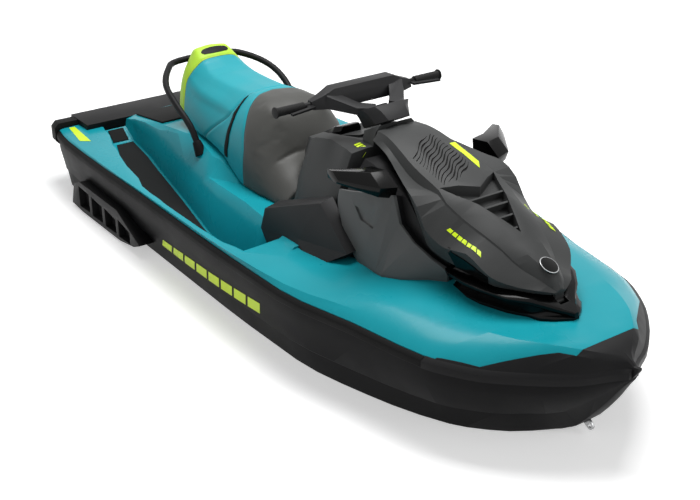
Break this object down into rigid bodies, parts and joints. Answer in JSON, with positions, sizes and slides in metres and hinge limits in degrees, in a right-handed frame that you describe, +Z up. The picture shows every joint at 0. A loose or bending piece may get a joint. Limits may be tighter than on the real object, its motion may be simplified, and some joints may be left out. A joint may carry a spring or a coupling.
{
  "type": "personal watercraft",
  "caption": "Seated jet-driven watercraft afloat: V hull, decked footwells, long seat, raked handlebar, hinged hood, pump with steering nozzle and reverse bucket.",
  "frame": {"origin": "amidships on the centre line, on the waterline", "axes": "+X to the bow, +Y to port, +Z up"},
  "size_m": [3.316, 1.267, 1.105],
  "materials": {
    "hull_black": "satin black gelcoat",
    "deck_teal": "gloss teal gelcoat",
    "rubber_black": "matt moulded rubber",
    "trim_black": "satin moulded plastic",
    "engine_grey": "plain block",
    "pump_metal": "cast, painted dark",
    "foam_black": "textured foam",
    "panel_grey": "satin dark grey plastic",
    "gloss_black": "piano black",
    "steel": "brushed",
    "seat_vinyl": "marine vinyl in teal, dark grey and lime"
  },
  "bodies": {
    "hull": {"hull": "hull_black", "deck": "deck_teal", "bumper_rail": "rubber_black", "bow_cap": "trim_black", "stern_bumper": "rubber_black", "rear_platform": "trim_black", "rear_pad": "foam_black", "gauge_pod": "gloss_black", "engine_block": "engine_grey", "pump_housing": "pump_metal", "ride_plate": "trim_black", "intake_grate": "pump_metal", "sponson_starboard": "trim_black", "sponson_port": "trim_black", "footwell_pad": "foam_black", "console": "panel_grey", "side_panel_starboard": "panel_grey", "side_panel_port": "panel_grey", "front_frame": "trim_black", "nose_trim": "gloss_black", "mirror_starboard": "gloss_black", "mirror_port": "gloss_black", "speaker_starboard": "panel_grey", "speaker_port": "panel_grey", "grab_handle": "trim_black", "step_lugs": "steel", "bow_eye": "steel", "stern_eyes": "steel"},
    "steering": {"steering_stem": "trim_black", "handlebar": "trim_black", "bar_cover": "panel_grey", "grips": "rubber_black", "levers": "trim_black"},
    "nozzle": {"steering_nozzle": "pump_metal"},
    "bucket": {"reverse_bucket": "pump_metal"},
    "impeller": {"impeller": "steel"},
    "hood": {"hood": "panel_grey"},
    "glovebox": {"glovebox_lid": "panel_grey"},
    "seat": {"seat": "seat_vinyl", "seat_cap": "seat_vinyl"},
    "step": {"boarding_step": "steel"}
  },
  "joints": [
    {"name": "handlebar_turn", "type": "hinge", "parent": "hull", "child": "steering", "pos_m": [0.296, 0, 0.835], "axis": [-0.454, 0, 0.891], "range_deg": [-22, 22]},
    {"name": "nozzle_turn", "type": "hinge", "parent": "hull", "child": "nozzle", "pos_m": [-1.568, 0, -0.092], "axis": [0, 0, 1], "range_deg": [-20, 20]},
    {"name": "bucket_swing", "type": "hinge", "parent": "hull", "child": "bucket", "pos_m": [-1.568, 0, -0.092], "axis": [0, -1, 0], "range_deg": [0, 70]},
    {"name": "impeller_spin", "type": "hinge", "parent": "hull", "child": "impeller", "pos_m": [-1.43, 0, -0.092], "axis": [1, 0, 0], "continuous": true},
    {"name": "hood_lift", "type": "hinge", "parent": "hull", "child": "hood", "pos_m": [1.288, 0, 0.43], "axis": [0, 1, 0], "range_deg": [0, 50]},
    {"name": "glovebox_open", "type": "hinge", "parent": "hull", "child": "glovebox", "pos_m": [0.246, 0, 0.71044], "axis": [0, 1, 0], "range_deg": [0, 35]},
    {"name": "seat_lift", "type": "slide", "parent": "hull", "child": "seat", "axis": [0, 0, 1], "range_m": [0, 0.3]},
    {"name": "step_fold", "type": "hinge", "parent": "hull", "child": "step", "pos_m": [-1.646, 0.29, 0.03], "axis": [0, -1, 0], "range_deg": [0, 180]}
  ],
  "couplings": [
    {"joint": "nozzle_turn", "follows": "handlebar_turn", "ratio": -0.9}
  ]
}
